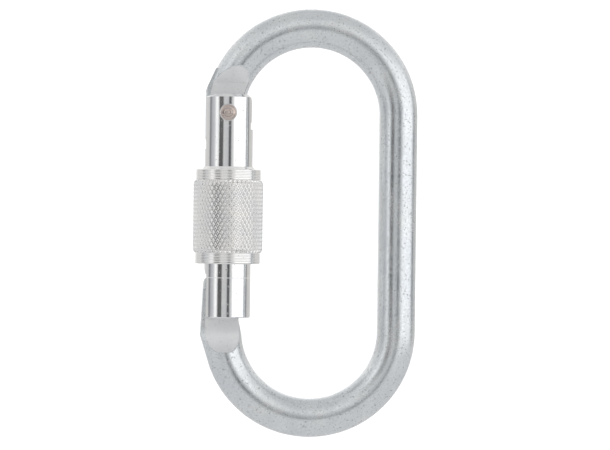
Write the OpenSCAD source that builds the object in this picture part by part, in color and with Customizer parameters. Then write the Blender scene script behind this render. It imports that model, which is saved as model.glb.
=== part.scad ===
// Oval screw-gate carabiner: a round steel bar bent into an oval, closed by a hinged gate
// that a knurled sleeve screws shut. The origin is the centre of the oval's opening.
// +Z runs to the hinge end, +X to the spine and +Y along the way a rope passes through.

/* [Bar] */
// Diameter of the round bar
bar_d = 10; // [9:0.5:11]
// Radius of the bar's centreline in both bows
bow_r = 22.5; // [21:0.5:26]
// Distance between the centres of the two bows
bow_gap = 56; // [56:1:70]

/* [Hinge] */
// Height of the hinge axis above the centre of the oval
hinge_z = 28.2; // [28:0.1:29]
// How far the gate's axis lies inboard of the bar's centreline
gate_inset = 1.1; // [0.8:0.1:1.4]
// Thickness of the flat tongue that the gate's fork holds
tongue_t = 4.8; // [4:0.1:5.2]
// Diameter of the rivet's shank
rivet_d = 3; // [2.4:0.1:3.2]
// Diameter of the rivet's formed heads
rivet_head_d = 4.1; // [3.8:0.1:4.4]

/* [Gate] */
// Diameter of the barrel that the sleeve runs on
barrel_d = 12.7; // [12.5:0.1:13]
// How far the flat on the fork's inner side lies from the gate's axis
fork_flat_x = 5.75; // [5.6:0.05:6]
// Diameter of the gate at its nose end
foot_d = 12.3; // [12:0.1:12.5]
// Height of the gate's upper end
gate_top_z = 33; // [32.5:0.1:33.5]
// Height of the gate's lower end
gate_bottom_z = -24.75; // [-25:0.05:-24]
// Pitch of the thread under the sleeve
thread_pitch = 2.25; // [2:0.25:2.5]

/* [Nose] */
// Height of the nose's tip
nose_tip_z = -14.2; // [-14.5:0.1:-14]
// Width of the T-shaped head, front to back
nose_head_t = 5.6; // [5:0.1:6]
// Thickness of the neck below the head, front to back
nose_neck_t = 3.8; // [3.4:0.1:4]

/* [Sleeve] */
// Diameter of the plain bands
sleeve_d = 17.1; // [17:0.1:17.4]
// Diameter over the knurl
knurl_d = 18.1; // [18:0.1:18.4]
// Height of the sleeve's lower end with the sleeve screwed back
sleeve_bottom_z = -10.8; // [-11:0.1:-10.5]
// Length of the sleeve without its end ring
sleeve_len = 24.5; // [24:0.1:25]

/* [Spring] */
// Diameter of the plunger
plunger_d = 4; // [3.6:0.1:4]
// Diameter of the spring's wire
wire_d = 0.6; // [0.5:0.05:0.7]
// Turns of the spring
spring_turns = 9; // [7:1:11]

/* [Hidden] */

$fn = 96;

// A cut that has to break through a surface runs this far past it
past = 1;
// Longer than any cut that has to clear the whole bar
clear_len = 30;

// The bar
bar_r = bar_d / 2;
bow_z = bow_gap / 2;
outer_r = bow_r + bar_r;

// The gate's axis, which the hinge, the sleeve and the plunger share
gate_x = gate_inset - bow_r;
barrel_r = barrel_d / 2;
foot_r = foot_d / 2;
fork_flat_z = 24;
barrel_bottom_z = -9.5;
fork_chamfer = 0.75;
foot_chamfer = 0.3;
back_flat_x = -5.25;
back_flat_z = -14.5;
back_flat_end_z = -11;

// The hinge's fork and tongue
fork_fit = 0.2;
fork_gap = tongue_t + 2 * fork_fit;
fork_floor_z = 18.9;
fork_web_top_z = hinge_z - 2.5;
fork_wall_x = 4.6;
tongue_shift = 0.1;
tongue_x = -bow_r - tongue_shift;
tongue_wall_gap = 0.3;
tongue_inner_x = fork_wall_x - tongue_wall_gap;
tongue_step = 1;
tongue_end_z = 20.5;
tongue_corner_z = 33.7;
tongue_bow_z = 39.8;
tongue_flat_z = 36;
tongue_ramp = 4.5;
tongue_flats_w = 17.5;
hook_r = 1.2;
rivet_r = rivet_d / 2;
rivet_fit = 0.02;
rivet_running_fit = 0.06;
rivet_head_r = rivet_head_d / 2;
rivet_seat_r = rivet_head_r + 0.2;
rivet_seat_y = 5.7;
rivet_rim_h = 0.3;
rivet_dome_h = 0.55;
rivet_ring_h = 0.05;
rivet_rings = 3;
steps_per_ring = 4;

// The plunger and the cam that it rides on. The cam is the inside of a spiral
// that pushes the plunger back as the gate swings in.
plunger_r = plunger_d / 2;
plunger_fit = 0.05;
cam_gap = 0.2;
cam_start_r = 7.4;
plunger_stroke = 1.5;
swing = 30;
cam_from = -20;
cam_to = 38;
cam_steps = 29;
cam_small_step = 0.5;
plunger_len = 5.4;
plunger_centre_z = hinge_z - cam_start_r;
spring_bore_end_z = 0.6;
spring_bottom_z = 0.8;
spring_play = 0.05;
spring_top_z = plunger_centre_z - plunger_len - spring_play;
spring_r = 1.6;
spring_ring_sides = 8;
spring_steps_per_turn = 20;

// The nose and the pocket that holds it
nose_tip_x = -22.6;
nose_kink = [-23.4, -28.5];
nose_bow_angle = 20;
nose_inner_x = -18.3;
nose_inner_top_z = -25.6;
nose_inner_low_z = -29.6;
nose_head_h = 3.1;
nose_round_r = 1.7;
nose_flat_z = -26.6;
nose_cut_end_z = -33.6;
nose_cut_r = 10.15;
pocket_gap = 0.6;
pocket_side_gap = 0.25;
pocket_floor_gap = 0.45;
pocket_floor_x = nose_inner_x + pocket_floor_gap;
pocket_top_z = nose_tip_z + pocket_gap;
ledge_gap = 0.5;
ledge_z = nose_tip_z - nose_head_h - ledge_gap;

// The thread under the sleeve
thread_top_z = 11.5;
thread_bottom_z = -7.5;
thread_depth = 0.55;
thread_root = 0.6;
thread_count = floor((thread_top_z - thread_bottom_z) / thread_pitch);
turned_line_z = -14.3;
turned_line_w = 0.16;
turned_line_depth = 0.03;

// The sleeve and its end ring
sleeve_r = sleeve_d / 2;
knurl_r = knurl_d / 2;
sleeve_top_z = sleeve_bottom_z + sleeve_len;
sleeve_fit = 0.07;
sleeve_bore_r = barrel_r + sleeve_fit;
sleeve_cup_r = 7.1;
sleeve_cup_len = 11.5;
plain_band = 2.8;
sleeve_edge = 0.35;
knurl_edge = 0.45;
ring_seat_r = 7.2;
ring_seat_len = 1.3;
ring_fit = 0.05;
ring_r = ring_seat_r - ring_fit;
ring_bore_r = barrel_r + ring_fit;
ring_floor_gap = 0.1;
ring_lip_h = 0.6;
ring_lip_low_r = 6.85;
ring_lip_high_r = 6.6;

steel = [0.78, 0.8, 0.82];
bright_steel = [0.86, 0.88, 0.9];
warm_steel = [0.66, 0.6, 0.55];

// A half ring of bar, opening downwards
module bow() {
  rotate([90, 0, 0])
    rotate_extrude(angle = 180)
      translate([bow_r, 0])
        circle(r = bar_r);
}

// An outline in the XZ plane, made this thick about the middle of the bar
module plate(outline, thickness) {
  rotate([90, 0, 0])
    linear_extrude(height = thickness, center = true)
      polygon(outline);
}

// Centre of the plunger's dome about the hinge axis, at this swing of the gate
function dome_centre(a) =
  let (r = cam_start_r + plunger_stroke * a / swing)
  [r * sin(a), -r * cos(a)];

// The cam's surface: one dome radius inside the path of the dome's centre
function cam_point(a) =
  let (p = dome_centre(a))
  let (q = dome_centre(a + cam_small_step))
  let (t = (q - p) / norm(q - p))
  p + (plunger_r + cam_gap) * [-t[1], t[0]];

cam = [for (i = [0:cam_steps])
  cam_point(cam_from + (cam_to - cam_from) * i / cam_steps)];

// A straight length of bar from a kink to this end, cut square to the mitre's normal
module bar_run(kink, end, normal) {
  run = end - kink;
  translate([kink[0], 0, kink[1]])
    intersection() {
      rotate([0, atan2(run[0], run[1]), 0])
        translate([0, 0, -bar_r])
          cylinder(r = bar_r, h = norm(run) + bar_r);
      rotate([0, atan2(normal[0], normal[1]), 0])
        translate([-bar_d, -bar_d, 0])
          cube([2 * bar_d, 2 * bar_d, clear_len]);
    }
}

// A length of bar that goes from one point to another by way of a mitred kink
module kinked_bar(from, kink, to) {
  way_in = (kink - from) / norm(kink - from);
  way_out = (to - kink) / norm(to - kink);
  bar_run(kink, from, -way_in - way_out);
  bar_run(kink, to, way_in + way_out);
}

// The tongue: the cam below the hinge, then the inner edge, then the hooked back
module tongue() {
  inner = bar_r - gate_inset;
  back = tongue_x - bar_r - gate_x;
  heel = tongue_end_z - hinge_z;
  bow_x = -sqrt(pow(outer_r, 2) - pow(tongue_bow_z - bow_z, 2)) - gate_x;
  outline = concat([for (p = cam) [min(p[0], tongue_inner_x), p[1]]], [
    [tongue_inner_x, -tongue_step],
    [inner, 0],
    [inner, tongue_bow_z - hinge_z],
    [bow_x, tongue_bow_z - hinge_z],
    [back, tongue_corner_z - hinge_z],
    [back, heel + hook_r],
    [back + hook_r * (1 - cos(45)), heel + hook_r * (1 - sin(45))],
    [back + hook_r, heel],
    [back + 2 * hook_r, heel]
  ]);
  intersection() {
    translate([gate_x, 0, hinge_z])
      plate(outline, tongue_t);
    union() {
      translate([tongue_x, 0, tongue_end_z - past])
        cylinder(r = bar_r, h = clear_len);
      translate([tongue_x, -bar_r, tongue_end_z - past])
        cube([bar_d, bar_d, clear_len]);
    }
  }
}

// Everything that the cutter removes beside the tongue, on both sides
module tongue_flats() {
  flat_y = tongue_t / 2;
  for (side = [0, 1])
    mirror([0, side, 0])
      translate([-outer_r - past, 0, 0])
        rotate([90, 0, 90])
          linear_extrude(height = tongue_flats_w)
            polygon([
              [flat_y, 0],
              [flat_y, tongue_flat_z],
              [bar_r, tongue_flat_z + tongue_ramp],
              [bar_r + past, tongue_flat_z + tongue_ramp * (1 + past / (bar_r - flat_y))],
              [bar_r + past, 0]
            ]);
}

// The upper bow, milled flat on both sides, with the tongue
module hinge_end() {
  difference() {
    translate([0, 0, bow_z])
      bow();
    tongue_flats();
  }
  tongue();
}

// What the cutters remove beside the neck, the head and the shoulder, on both sides
module nose_cuts() {
  neck_y = nose_neck_t / 2;
  head_y = nose_head_t / 2;
  head_end_z = nose_tip_z - nose_head_h;
  for (side = [0, 1])
    mirror([0, side, 0]) {
      translate([nose_kink[0] - bar_d, neck_y, nose_flat_z])
        cube([2 * bar_d, bar_d, head_end_z - nose_flat_z]);
      translate([nose_kink[0] - bar_d, head_y, nose_flat_z])
        cube([2 * bar_d, bar_d, nose_tip_z - nose_flat_z + past]);
      intersection() {
        translate([nose_kink[0], neck_y + nose_cut_r, nose_flat_z])
          rotate([0, 90, 0])
            cylinder(r = nose_cut_r, h = 2 * bar_d, center = true);
        translate([nose_kink[0] - bar_d, 0, nose_cut_end_z])
          cube([2 * bar_d, 2 * nose_cut_r, nose_flat_z - nose_cut_end_z]);
      }
    }
}

// What is trimmed off the nose: above its tip, round its back and down its inner side
module nose_trim() {
  tip = [nose_tip_x - bar_r + nose_round_r, nose_tip_z - nose_round_r];
  bow_inner_r = bow_r - bar_r;
  inner_low_x = -sqrt(pow(bow_inner_r, 2) - pow(nose_inner_low_z + bow_z, 2));
  plate(concat(
    [for (a = [180:-10:90]) tip + nose_round_r * [cos(a), sin(a)]],
    [
      [nose_inner_x, nose_tip_z],
      [nose_inner_x, nose_inner_top_z],
      [inner_low_x, nose_inner_low_z],
      [0, nose_inner_low_z],
      [0, nose_tip_z + bar_d],
      [-outer_r - 2 * past, nose_tip_z + bar_d],
      [-outer_r - 2 * past, tip[1]]
    ]), bar_d + 2 * past);
}

// The lower bow, with the splayed stub of bar that ends in the nose
module nose_end() {
  bow_point = [-bow_r * cos(nose_bow_angle), -bow_z - bow_r * sin(nose_bow_angle)];
  difference() {
    union() {
      translate([0, 0, -bow_z])
        rotate([0, 180, 0])
          bow();
      kinked_bar([nose_tip_x, nose_tip_z + past], nose_kink, bow_point);
      translate([-bow_r, 0, -bow_z])
        cylinder(r = bar_r, h = nose_inner_top_z + bow_z);
    }
    nose_trim();
    nose_cuts();
  }
}

module body() {
  color(steel)
    difference() {
      union() {
        translate([bow_r, 0, -bow_z])
          cylinder(r = bar_r, h = bow_gap);
        hinge_end();
        nose_end();
      }
      translate([gate_x, 0, hinge_z])
        rotate([90, 0, 0])
          cylinder(r = rivet_r + rivet_running_fit, h = clear_len, center = true);
    }
}

// Shallow rings cut where the sleeve's thread runs
module thread_grooves() {
  for (i = [0:thread_count])
    translate([0, 0, thread_top_z - i * thread_pitch])
      rotate_extrude()
        polygon([
          [barrel_r - thread_depth, -thread_root / 2],
          [barrel_r + past, -thread_root / 2 - thread_depth - past],
          [barrel_r + past, thread_root / 2 + thread_depth + past],
          [barrel_r - thread_depth, thread_root / 2]
        ]);
}

module gate_blank() {
  rotate_extrude()
    polygon([
      [0, gate_bottom_z],
      [foot_r - foot_chamfer, gate_bottom_z],
      [foot_r, gate_bottom_z + foot_chamfer],
      [foot_r, turned_line_z - turned_line_w],
      [foot_r - turned_line_depth, turned_line_z - turned_line_w / 2],
      [foot_r, turned_line_z],
      [foot_r, barrel_bottom_z],
      [barrel_r, barrel_bottom_z + barrel_r - foot_r],
      [barrel_r, gate_top_z - fork_chamfer],
      [barrel_r - fork_chamfer, gate_top_z],
      [0, gate_top_z]
    ]);
}

// The flat on the fork's inner side, with the corner above it taken off
module fork_flat() {
  plate([
    [fork_flat_x, fork_flat_z],
    [fork_flat_x, gate_top_z - fork_chamfer],
    [fork_flat_x - fork_chamfer, gate_top_z],
    [fork_flat_x - fork_chamfer, gate_top_z + past],
    [clear_len, gate_top_z + past],
    [clear_len, fork_flat_z]
  ], clear_len);
}

// The slot that makes the fork, open at the back and over the top
module fork_slot() {
  plate([
    [-clear_len, fork_floor_z],
    [fork_wall_x, fork_floor_z],
    [fork_wall_x, fork_web_top_z],
    [clear_len, fork_web_top_z],
    [clear_len, gate_top_z + past],
    [-clear_len, gate_top_z + past]
  ], fork_gap);
}

// The flat milled down the gate's back at the nose end, with its slanted run-out
module back_flat() {
  plate([
    [back_flat_x, gate_bottom_z - past],
    [back_flat_x, back_flat_z],
    [-barrel_r, back_flat_end_z],
    [-clear_len, back_flat_end_z],
    [-clear_len, gate_bottom_z - past]
  ], clear_len);
}

// The T-shaped pocket for the nose, open at the back and at the lower end
module nose_pocket() {
  head_w = nose_head_t + 2 * pocket_side_gap;
  neck_w = nose_neck_t + 2 * pocket_side_gap;
  reach = pocket_floor_x - gate_x;
  translate([reach - clear_len, -head_w / 2, ledge_z])
    cube([clear_len, head_w, pocket_top_z - ledge_z]);
  translate([reach - clear_len, -neck_w / 2, gate_bottom_z - past])
    cube([clear_len, neck_w, ledge_z - gate_bottom_z + 2 * past]);
}

module gate() {
  color(bright_steel)
    translate([gate_x, 0, 0])
      difference() {
        gate_blank();
        thread_grooves();
        fork_flat();
        fork_slot();
        back_flat();
        nose_pocket();
        translate([0, 0, spring_bore_end_z])
          cylinder(r = plunger_r + plunger_fit, h = fork_floor_z - spring_bore_end_z + past);
        translate([0, 0, hinge_z])
          rotate([90, 0, 0])
            cylinder(r = rivet_r + rivet_fit, h = clear_len, center = true);
        for (side = [0, 1])
          mirror([0, side, 0])
            translate([0, rivet_seat_y, hinge_z])
              rotate([-90, 0, 0])
                cylinder(r = rivet_seat_r, h = barrel_r);
      }
}

// One formed head: a low dome with turned rings and a centre dimple
module rivet_head() {
  steps = steps_per_ring * rivet_rings;
  function dome(t) = rivet_rim_h + rivet_dome_h * (1 - t * t);
  rotate_extrude()
    polygon(concat(
      [[0, 0], [rivet_head_r, 0]],
      [for (i = [steps:-1:1])
        let (t = i / steps)
        [rivet_head_r * t, dome(t) - (i % steps_per_ring == steps_per_ring / 2 ? rivet_ring_h : 0)]],
      [[0, dome(0) - 2 * rivet_ring_h]]
    ));
}

module hinge_rivet() {
  color(warm_steel)
    translate([gate_x, 0, hinge_z]) {
      rotate([90, 0, 0])
        cylinder(r = rivet_r, h = 2 * rivet_seat_y + rivet_rim_h, center = true);
      for (side = [0, 1])
        mirror([0, side, 0])
          translate([0, rivet_seat_y, 0])
            rotate([-90, 0, 0])
              rivet_head();
    }
}

module spring_plunger() {
  color(steel)
    translate([gate_x, 0, plunger_centre_z]) {
      translate([0, 0, -plunger_len])
        cylinder(r = plunger_r, h = plunger_len);
      sphere(r = plunger_r);
    }
}

// The spring's wire: a round section swept up a helix and closed at both ends
module gate_spring() {
  steps = spring_turns * spring_steps_per_turn;
  low = spring_bottom_z + wire_d / 2;
  rise = spring_top_z - spring_bottom_z - wire_d;
  sides = spring_ring_sides;
  rings = [for (i = [0:steps])
    let (turn = 360 * i / spring_steps_per_turn)
    for (k = [0:sides - 1])
      let (r = spring_r + wire_d / 2 * cos(360 * k / sides))
      [r * cos(turn), r * sin(turn), low + rise * i / steps + wire_d / 2 * sin(360 * k / sides)]
  ];
  walls = [for (i = [0:steps - 1])
    for (k = [0:sides - 1])
      let (n = (k + 1) % sides)
      [i * sides + k, (i + 1) * sides + k, (i + 1) * sides + n, i * sides + n]
  ];
  ends = [
    [for (k = [0:sides - 1]) k],
    [for (k = [0:sides - 1]) steps * sides + sides - 1 - k]
  ];
  color(bright_steel)
    translate([gate_x, 0, 0])
      polyhedron(points = rings, faces = concat(walls, ends), convexity = 10);
}

module locking_sleeve() {
  knurl_low_z = sleeve_bottom_z + plain_band;
  knurl_high_z = sleeve_top_z - plain_band;
  color(steel)
    translate([gate_x, 0, 0])
      rotate_extrude()
        polygon([
          [sleeve_cup_r, sleeve_bottom_z],
          [sleeve_r - sleeve_edge, sleeve_bottom_z],
          [sleeve_r, sleeve_bottom_z + sleeve_edge],
          [sleeve_r, knurl_low_z],
          [knurl_r, knurl_low_z + knurl_edge],
          [knurl_r, knurl_high_z - knurl_edge],
          [sleeve_r, knurl_high_z],
          [sleeve_r, sleeve_top_z - sleeve_edge],
          [sleeve_r - sleeve_edge, sleeve_top_z],
          [ring_seat_r, sleeve_top_z],
          [ring_seat_r, sleeve_top_z - ring_seat_len],
          [sleeve_bore_r, sleeve_top_z - ring_seat_len],
          [sleeve_bore_r, sleeve_bottom_z + sleeve_cup_len + sleeve_cup_r - sleeve_bore_r],
          [sleeve_cup_r, sleeve_bottom_z + sleeve_cup_len]
        ]);
}

module sleeve_end_ring() {
  color(bright_steel)
    translate([gate_x, 0, sleeve_top_z])
      rotate_extrude()
        polygon([
          [ring_bore_r, -ring_seat_len + ring_floor_gap],
          [ring_r, -ring_seat_len + ring_floor_gap],
          [ring_r, 0],
          [ring_lip_low_r, 0],
          [ring_lip_high_r, ring_lip_h],
          [ring_bore_r, ring_lip_h]
        ]);
}

body();
gate();
hinge_rivet();
spring_plunger();
gate_spring();
locking_sleeve();
sleeve_end_ring();
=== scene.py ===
"""The looks of an oval screw-gate carabiner: plated steel, a knurled sleeve and soft studio light."""

import math

import bpy
from mathutils import Matrix, Vector


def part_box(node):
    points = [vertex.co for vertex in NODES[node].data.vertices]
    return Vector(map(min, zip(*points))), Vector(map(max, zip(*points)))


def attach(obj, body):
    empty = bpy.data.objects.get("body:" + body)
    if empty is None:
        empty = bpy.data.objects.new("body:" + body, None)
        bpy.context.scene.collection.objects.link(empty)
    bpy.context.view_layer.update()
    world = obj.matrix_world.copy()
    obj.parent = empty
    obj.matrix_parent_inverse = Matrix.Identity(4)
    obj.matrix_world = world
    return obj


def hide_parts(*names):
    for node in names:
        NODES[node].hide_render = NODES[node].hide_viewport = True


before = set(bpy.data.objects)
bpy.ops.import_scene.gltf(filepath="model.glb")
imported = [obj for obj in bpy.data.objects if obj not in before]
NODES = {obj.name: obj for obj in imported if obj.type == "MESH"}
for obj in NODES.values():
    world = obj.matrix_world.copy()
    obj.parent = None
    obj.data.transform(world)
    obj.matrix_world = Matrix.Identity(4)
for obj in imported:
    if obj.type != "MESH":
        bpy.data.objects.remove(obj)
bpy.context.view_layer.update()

MM = 0.001

# The gate's axis is the sleeve's own axis, read from its box
SLEEVE_LOW, SLEEVE_HIGH = (Vector(corner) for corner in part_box("locking_sleeve"))
GATE_X = (SLEEVE_LOW.x + SLEEVE_HIGH.x) / 2

# The bar: its radius, its bows' radius and how far their centres lie from the middle, in mm
BODY_LOW, BODY_HIGH = (Vector(corner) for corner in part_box("body"))
BAR_R = (BODY_HIGH.y - BODY_LOW.y) / 2 / MM
BOW_R = BODY_HIGH.x / MM - BAR_R
BOW_Z = BODY_HIGH.z / MM - BOW_R - BAR_R


# ---------------------------------------------------------------- materials

class Nodes:
    """A material's node tree with short calls for the few node kinds used here."""

    def __init__(self, name):
        self.material = bpy.data.materials.new(name)
        self.material.use_nodes = True
        self.tree = self.material.node_tree
        self.shader = self.tree.nodes["Principled BSDF"]
        self.place = self.add("ShaderNodeTexCoord").outputs["Object"]

    def add(self, kind, **settings):
        node = self.tree.nodes.new(kind)
        for key, value in settings.items():
            setattr(node, key, value)
        return node

    def feed(self, socket, value):
        if isinstance(value, bpy.types.NodeSocket):
            self.tree.links.new(value, socket)
        else:
            socket.default_value = value

    def stretched(self, scale, offset=(0, 0, 0)):
        """The surface point in metres, moved and then scaled on each axis."""
        node = self.add("ShaderNodeMapping", vector_type="POINT")
        self.feed(node.inputs["Vector"], self.place)
        node.inputs["Scale"].default_value = scale
        node.inputs["Location"].default_value = offset
        return node.outputs["Vector"]

    def noise(self, vector, scale, detail=3.0, rough=0.5):
        node = self.add("ShaderNodeTexNoise")
        self.feed(node.inputs["Vector"], vector)
        node.inputs["Scale"].default_value = scale
        node.inputs["Detail"].default_value = detail
        node.inputs["Roughness"].default_value = rough
        return node.outputs["Fac"]

    def cells(self, vector, scale):
        """A random grey for each crystal-like cell."""
        node = self.add("ShaderNodeTexVoronoi", feature="F1")
        self.feed(node.inputs["Vector"], vector)
        node.inputs["Scale"].default_value = scale
        split = self.add("ShaderNodeSeparateColor")
        self.feed(split.inputs["Color"], node.outputs["Color"])
        return split.outputs[0]

    def remap(self, value, low, high, to_low, to_high):
        node = self.add("ShaderNodeMapRange")
        self.feed(node.inputs["Value"], value)
        for socket, number in zip(node.inputs[1:5], (low, high, to_low, to_high)):
            socket.default_value = number
        return node.outputs["Result"]

    def math(self, operation, a, b=0.0):
        node = self.add("ShaderNodeMath", operation=operation)
        self.feed(node.inputs[0], a)
        self.feed(node.inputs[1], b)
        return node.outputs[0]

    def mix(self, factor, a, b):
        node = self.add("ShaderNodeMix", data_type="RGBA")
        self.feed(node.inputs["Factor"], factor)
        self.feed(node.inputs["A"], a)
        self.feed(node.inputs["B"], b)
        return node.outputs["Result"]

    def bump(self, height, strength, distance, under=None):
        node = self.add("ShaderNodeBump")
        node.inputs["Strength"].default_value = strength
        node.inputs["Distance"].default_value = distance
        self.feed(node.inputs["Height"], height)
        if under is not None:
            self.feed(node.inputs["Normal"], under)
        return node.outputs["Normal"]


def colour(grey, warm=0.0):
    """A metal's colour: grey, pushed towards straw where warm is above 0 and blue below."""
    return (grey * (1 + 0.5 * warm), grey, grey * (1 - warm), 1.0)


def steel(name, grey, warm, rough, rough_spread, grain, streak, speck, crystals,
          tint=(1, 1, 1)):
    """Bright zinc plate, or another metal through its tint.

    grain and crystals are (size in metres, strength) pairs.
    streak is (x, y, z, strength): how far a mark runs along each axis, in metres.
    speck sets how rare the dark pits are: the higher it is, the fewer there are.
    """
    n = Nodes(name)
    shader = n.shader
    shader.inputs["Metallic"].default_value = 1.0

    patches = n.noise(n.place, 1 / (9 * MM), 4.0, 0.6)
    marks = n.noise(n.stretched(tuple(1 / length for length in streak[:3])), 1.0, 3.0, 0.6)
    fine = n.noise(n.place, 1 / grain[0], 2.0, 0.7)
    facets = n.cells(n.place, 1 / crystals[0])
    pits = n.noise(n.stretched((1, 1, 1), (0.3, 0.1, 0.2)), 1 / (0.55 * MM), 2.0, 0.5)
    pit_mask = n.remap(pits, 0.5 + speck, 0.54 + speck, 0.0, 1.0)

    cloudy = n.mix(n.remap(patches, 0.35, 0.65, 0.0, 1.0),
                   colour(grey * 0.94, warm - 0.015), colour(min(grey * 1.05, 0.97), warm + 0.02))
    marked = n.mix(n.remap(marks, 0.3, 0.7, 0.0, streak[3]), cloudy, colour(grey * 0.72, warm))
    sparkled = n.mix(n.remap(facets, 0.0, 1.0, 0.0, crystals[1]), marked,
                     colour(grey * 0.62, warm))
    pitted = n.mix(n.math("MULTIPLY", pit_mask, 0.55), sparkled, colour(grey * 0.28, 0.06))
    tinted = n.add("ShaderNodeMix", data_type="RGBA", blend_type="MULTIPLY")
    n.feed(tinted.inputs["Factor"], 1.0)
    n.feed(tinted.inputs["A"], pitted)
    n.feed(tinted.inputs["B"], (*tint, 1.0))
    n.plate = tinted.outputs["Result"]
    n.feed(shader.inputs["Base Color"], n.plate)

    dull = n.math("ADD", n.remap(patches, 0.3, 0.7, rough - rough_spread, rough + rough_spread),
                  n.remap(facets, 0.0, 1.0, -crystals[1] * 0.12, crystals[1] * 0.12))
    worn = n.math("ADD", dull, n.remap(marks, 0.3, 0.7, -rough_spread, rough_spread))
    n.dullness = n.math("MAXIMUM", worn, 0.04)
    n.feed(shader.inputs["Roughness"], n.dullness)

    relief = n.bump(fine, grain[1], 0.03 * MM)
    relief = n.bump(marks, streak[3] * 0.5, 0.02 * MM, relief)
    relief = n.bump(facets, crystals[1] * 0.5, 0.02 * MM, relief)
    relief = n.bump(n.math("MULTIPLY", pit_mask, -1.0), 0.5, 0.04 * MM, relief)
    n.relief = relief
    n.feed(shader.inputs["Normal"], n.relief)
    return n


def bar_distance(n):
    """How far a point of the body lies from the oval's centreline, as a socket in metres."""
    split = n.add("ShaderNodeSeparateXYZ")
    n.feed(split.inputs[0], n.place)
    x, y, z = split.outputs

    def length(a, b):
        return n.math("SQRT", n.math("ADD", n.math("MULTIPLY", a, a), n.math("MULTIPLY", b, b)))

    past_bow = n.math("MAXIMUM", n.math("SUBTRACT", n.math("ABSOLUTE", z), BOW_Z * MM))
    return length(n.math("SUBTRACT", length(x, past_bow), BOW_R * MM), y)


def bar_material():
    """Satin plate with a fine crystalline sparkle. The faces cut into the bar are duller."""
    n = steel("bar_plate", 0.88, -0.02, 0.21, 0.05, (0.12 * MM, 0.3),
              (2.5 * MM, 2.5 * MM, 7 * MM, 0.26), 0.13, (0.17 * MM, 0.44), (0.965, 0.99, 1.0))
    cut = n.remap(bar_distance(n), (BAR_R - 0.25) * MM, (BAR_R - 0.15) * MM, 1.0, 0.0)
    lines = n.noise(n.stretched((1 / (6 * MM), 1 / (6 * MM), 1 / (0.5 * MM))), 1.0)
    n.feed(n.shader.inputs["Base Color"],
           n.mix(n.math("MULTIPLY", cut, 0.65), n.plate, colour(0.93)))
    n.feed(n.shader.inputs["Roughness"],
           n.math("ADD", n.dullness, n.math("MULTIPLY", cut, 0.2)))
    n.feed(n.shader.inputs["Normal"],
           n.bump(n.math("MULTIPLY", cut, lines), 0.3, 0.02 * MM, n.relief))
    return n.material


def gate_material():
    """Brighter plate on a turned barrel, with faint marks along it."""
    return steel("gate_plate", 0.93, -0.01, 0.055, 0.015, (0.16 * MM, 0.10),
                 (0.5 * MM, 0.5 * MM, 14 * MM, 0.12), 0.19, (0.2 * MM, 0.14)).material


def sleeve_material():
    """Plate over turned bands: fine lines run round it."""
    return steel("sleeve_plate", 0.93, 0.005, 0.12, 0.03, (0.14 * MM, 0.15),
                 (9 * MM, 9 * MM, 0.14 * MM, 0.22), 0.22, (0.2 * MM, 0.12)).material


def rivet_material():
    """The formed heads are warmer and a little worn."""
    return steel("rivet_plate", 0.72, 0.0, 0.15, 0.05, (0.15 * MM, 0.25),
                 (0.8 * MM, 0.8 * MM, 0.8 * MM, 0.3), 0.16, (0.15 * MM, 0.25),
                 (0.88, 0.76, 0.71)).material


def spring_material():
    """Drawn wire and a ground plunger, darker than the plate."""
    return steel("spring_wire", 0.60, 0.0, 0.25, 0.05, (0.1 * MM, 0.2),
                 (0.3 * MM, 0.3 * MM, 2 * MM, 0.3), 0.2, (0.1 * MM, 0.2)).material


# ------------------------------------------------------------------ pieces

def dress(node, material):
    """Gives a CAD node its material, and only that: its shape is the CAD's own."""
    for slot in NODES[node].material_slots:
        slot.material = material


# The sleeve's profile, in millimetres, with heights from its lower end
BAND = 2.8
LENGTH = (SLEEVE_HIGH.z - SLEEVE_LOW.z) / MM
BAND_R = 8.55
KNURL_R = (SLEEVE_HIGH.x - SLEEVE_LOW.x) / 2 / MM
KNURL_DEPTH = 0.42
KNURL_STARTS = 48
KNURL_PERIOD = 2.06
CELL_STEPS = 8
CUP_R = 7.1
CUP_LEN = 11.5
BORE_R = 6.42
SEAT_R = 7.2
SEAT_LEN = 1.3
EDGE = 0.3
UNDERCUT = 0.1
KNURL_MARGIN = 0.12
LINES_PER_BAND = 6
LINE_DEPTH = 0.025

# A diamond's flat top: the ridge's height is scaled by this and cut off at 1
DIAMOND_CROWN = 1.55
# Knurl rows over which the diamonds fade out at either end
FADE_ROWS = 3
SHARP_EDGE = math.radians(28)


def knurl_height(column, row):
    """How far a diamond stands out at a point of the cutting grid, from 0 to 1."""
    left = (column + row) / CELL_STEPS % 1.0
    right = (column - row) / CELL_STEPS % 1.0
    ridge = min(1 - abs(2 * left - 1), 1 - abs(2 * right - 1))
    return min(1.0, DIAMOND_CROWN * ridge)


def turned_band(low, high):
    """Rings of a plain band, with shallow turned lines."""
    step = (high - low) / LINES_PER_BAND
    rings = []
    for i in range(LINES_PER_BAND):
        rings.append((BAND_R, low + i * step + 0.06))
        rings.append((BAND_R, low + (i + 1) * step - 0.08))
        rings.append((BAND_R - LINE_DEPTH, low + (i + 1) * step - 0.01))
    return rings


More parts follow.
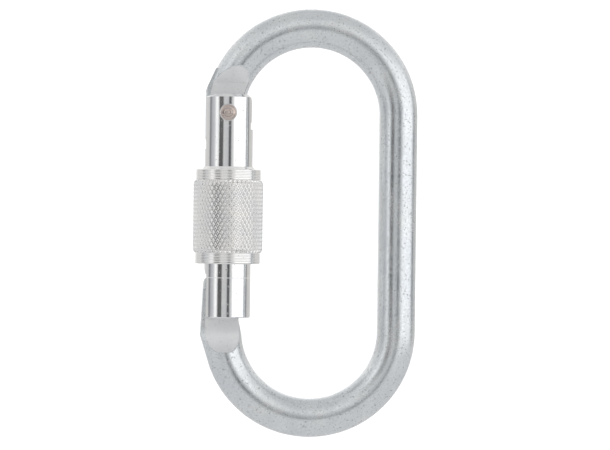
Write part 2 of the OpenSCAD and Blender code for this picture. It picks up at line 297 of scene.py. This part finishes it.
def sleeve_rings():
    """Every ring of the sleeve, from the cup's mouth round the outside and back up the bore.

    A ring is (radius, height, knurl row or None).
    """
    rings = [(CUP_R, EDGE / 2), (CUP_R + EDGE / 2, 0.0), (BAND_R - EDGE, 0.0),
             (BAND_R - EDGE * 0.3, EDGE * 0.3), (BAND_R, EDGE)]
    rings += turned_band(EDGE, BAND - UNDERCUT)
    rings = [(r, z, None) for r, z in rings]
    rings.append((BAND_R - UNDERCUT, BAND, None))
    low, high = BAND + KNURL_MARGIN, LENGTH - BAND - KNURL_MARGIN
    step = KNURL_PERIOD / CELL_STEPS
    rows = int((high - low) / step)
    start = (low + high - rows * step) / 2
    rings += [(KNURL_R, start + i * step, i) for i in range(rows + 1)]
    rings.append((BAND_R - UNDERCUT, LENGTH - BAND, None))
    rings += [(r, z, None) for r, z in turned_band(LENGTH - BAND + UNDERCUT, LENGTH - EDGE)]
    rings += [(r, z, None) for r, z in (
        (BAND_R, LENGTH - EDGE), (BAND_R - EDGE * 0.3, LENGTH - EDGE * 0.3),
        (BAND_R - EDGE, LENGTH), (SEAT_R, LENGTH), (SEAT_R, LENGTH - SEAT_LEN),
        (BORE_R, LENGTH - SEAT_LEN), (BORE_R, CUP_LEN + CUP_R - BORE_R), (CUP_R, CUP_LEN))]
    return rings


def make_sleeve(material):
    """The knurled sleeve, which stands for the plain CAD one."""
    columns = KNURL_STARTS * CELL_STEPS
    rings = sleeve_rings()
    knurl_rows = max(row for _, _, row in rings if row is not None)
    points = []
    for radius, height, row in rings:
        for column in range(columns):
            r = radius
            if row is not None:
                fade = min(1.0, (min(row, knurl_rows - row) + 0.5) / FADE_ROWS)
                r = KNURL_R - KNURL_DEPTH * (1 - knurl_height(column, row) * fade)
            turn = 2 * math.pi * column / columns
            points.append((GATE_X + r * MM * math.cos(turn), r * MM * math.sin(turn),
                           SLEEVE_LOW.z + height * MM))
    faces = []
    count = len(rings)
    for i in range(count):
        above = (i + 1) % count
        knurled = rings[i][2] is not None and rings[above][2] is not None
        for column in range(columns):
            after = (column + 1) % columns
            a, b = i * columns + column, i * columns + after
            c, d = above * columns + after, above * columns + column
            if not knurled:
                faces.append((a, b, c, d))
                continue
            row = rings[i][2]
            middle = knurl_height(column + 0.5, row + 0.5)
            rising = (knurl_height(column, row) + knurl_height(column + 1, row + 1)) / 2
            falling = (knurl_height(column + 1, row) + knurl_height(column, row + 1)) / 2
            if abs(rising - middle) <= abs(falling - middle):
                faces += [(a, b, c), (a, c, d)]
            else:
                faces += [(a, b, d), (b, c, d)]
    mesh = bpy.data.meshes.new("locking_sleeve_knurled")
    mesh.from_pydata(points, [], faces)
    mesh.validate()
    mesh.shade_smooth()
    mesh.set_sharp_from_angle(angle=SHARP_EDGE)
    mesh.materials.append(material)
    piece = bpy.data.objects.new("locking_sleeve_knurled", mesh)
    bpy.context.scene.collection.objects.link(piece)
    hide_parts("locking_sleeve")
    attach(piece, "sleeve")


# ------------------------------------------------------------------- stage

STUDIO_STRENGTH = 1.12
# How fast a direction's height takes it from the side bands to the tall ones
HEIGHT_BLEND = 1.5

def make_floor():
    """A pale floor well below the part, where the camera doesn't look."""
    mesh = bpy.data.meshes.new("floor")
    reach, drop = 2.2, -0.35
    mesh.from_pydata([(-reach, -reach, drop), (reach, -reach, drop),
                      (reach, reach, drop), (-reach, reach, drop)], [], [(0, 1, 2, 3)])
    n = Nodes("floor_paint")
    n.feed(n.shader.inputs["Base Color"],
           n.mix(n.noise(n.place, 30.0), (0.90, 0.90, 0.90, 1), (0.94, 0.94, 0.94, 1)))
    n.shader.inputs["Roughness"].default_value = 0.8
    mesh.materials.append(n.material)
    floor = bpy.data.objects.new("floor", mesh)
    bpy.context.scene.collection.objects.link(floor)


def ramp(tree, value, stops):
    """A colour ramp over 0 to 1. Each stop is (place, grey, warm)."""
    node = tree.nodes.new("ShaderNodeValToRGB")
    tree.links.new(value, node.inputs["Fac"])
    elements = node.color_ramp.elements
    while len(elements) > 1:
        elements.remove(elements[-1])
    elements[0].position = stops[0][0]
    elements[0].color = colour(*stops[0][1:])
    for place, grey, warm in stops[1:]:
        elements.new(place).color = colour(grey, warm)
    return node.outputs["Color"]


def make_studio():
    """Soft light from all round: pale panels with narrow dark gaps between them.

    The azimuth runs from -180 to 180 degrees about the part, with 0 on the -Y side, which
    the part faces, and positive angles towards +X. Directions well above or below the
    horizon blend to a second set of bands, by their height.
    """
    world = bpy.data.worlds.new("studio")
    world.use_nodes = True
    bpy.context.scene.world = world
    tree = world.node_tree
    background = tree.nodes["Background"]
    coordinates = tree.nodes.new("ShaderNodeTexCoord")
    split = tree.nodes.new("ShaderNodeSeparateXYZ")
    tree.links.new(coordinates.outputs["Generated"], split.inputs[0])

    def calc(operation, a, b=0.0):
        node = tree.nodes.new("ShaderNodeMath")
        node.operation = operation
        for socket, value in zip(node.inputs, (a, b)):
            if isinstance(value, bpy.types.NodeSocket):
                tree.links.new(value, socket)
            else:
                socket.default_value = value
        return node.outputs[0]

    toward_camera = calc("MULTIPLY", split.outputs["Y"], -1.0)
    azimuth = calc("ARCTAN2", split.outputs["X"], toward_camera)
    around = calc("ADD", calc("DIVIDE", azimuth, 2 * math.pi), 0.5)
    height = calc("ADD", calc("MULTIPLY", split.outputs["Z"], 0.5), 0.5)

    def at(degrees):
        return degrees / 360 + 0.5

    sides = ramp(tree, around, [
        (at(-180), 1.1, 0.0), (at(-165), 1.1, 0.0), (at(-130), 0.60, 0.02),
        (at(-104), 0.56, 0.01), (at(-98), 0.20, -0.06), (at(-91), 0.20, -0.06),
        (at(-86), 0.38, -0.05), (at(-70), 0.52, -0.03), (at(-58), 1.0, 0.0), (at(-49), 0.8, 0.0),
        (at(-44), 0.07, 0.0), (at(-27), 0.07, 0.0), (at(-22), 0.56, 0.0), (at(-1), 0.50, -0.01),
        (at(3), 0.06, -0.08), (at(11), 0.06, -0.08), (at(15), 0.50, -0.01), (at(23), 0.64, 0.0),
        (at(29), 1.15, 0.0), (at(84), 1.1, -0.01), (at(96), 0.80, -0.03),
        (at(101), 0.14, -0.06), (at(108), 0.18, -0.05), (at(114), 0.52, 0.02),
        (at(150), 0.60, 0.02), (at(165), 1.1, 0.0), (at(180), 1.1, 0.0)])
    tall = ramp(tree, height, [
        (0.0, 0.42, -0.02), (0.20, 0.44, -0.02), (0.27, 0.36, 0.0), (0.31, 0.14, 0.0),
        (0.34, 0.32, 0.0), (0.42, 0.60, 0.0), (0.50, 0.80, 0.0), (0.70, 0.92, 0.01),
        (0.80, 0.74, 0.0), (0.94, 0.56, -0.01), (1.0, 0.60, 0.0)])
    steep = calc("SMOOTH_MIN", calc("MULTIPLY", calc("ABSOLUTE", split.outputs["Z"]), HEIGHT_BLEND), 1.0)
    blend = tree.nodes.new("ShaderNodeMix")
    blend.data_type = "RGBA"
    tree.links.new(steep, blend.inputs["Factor"])
    tree.links.new(sides, blend.inputs["A"])
    tree.links.new(tall, blend.inputs["B"])
    tree.links.new(blend.outputs["Result"], background.inputs["Color"])
    background.inputs["Strength"].default_value = STUDIO_STRENGTH


def make_camera():
    """Straight on, with a long lens and a slight lean."""
    distance = 0.6
    frame_width = 0.1583
    aim = Vector((-1.38 * MM, 0, -0.52 * MM))
    data = bpy.data.cameras.new("camera")
    data.sensor_width = 36.0
    data.lens = data.sensor_width * distance / frame_width
    data.clip_start = 0.01
    camera = bpy.data.objects.new("camera", data)
    lean = Matrix.Rotation(math.radians(0.7), 4, "Z")
    camera.matrix_world = (Matrix.Translation(aim - Vector((0, distance, 0)))
                           @ Matrix.Rotation(math.radians(90), 4, "X") @ lean)
    bpy.context.scene.collection.objects.link(camera)
    bpy.context.scene.camera = camera
    bpy.context.scene.view_settings.view_transform = "Standard"


dress("body", bar_material())
GATE_PLATE = gate_material()
dress("gate", GATE_PLATE)
dress("hinge_rivet", rivet_material())
SPRING_WIRE = spring_material()
dress("gate_spring", SPRING_WIRE)
dress("spring_plunger", SPRING_WIRE)
SLEEVE_PLATE = sleeve_material()
dress("sleeve_end_ring", SLEEVE_PLATE)
make_sleeve(SLEEVE_PLATE)
make_floor()
make_studio()
make_camera()

bpy.context.view_layer.update()
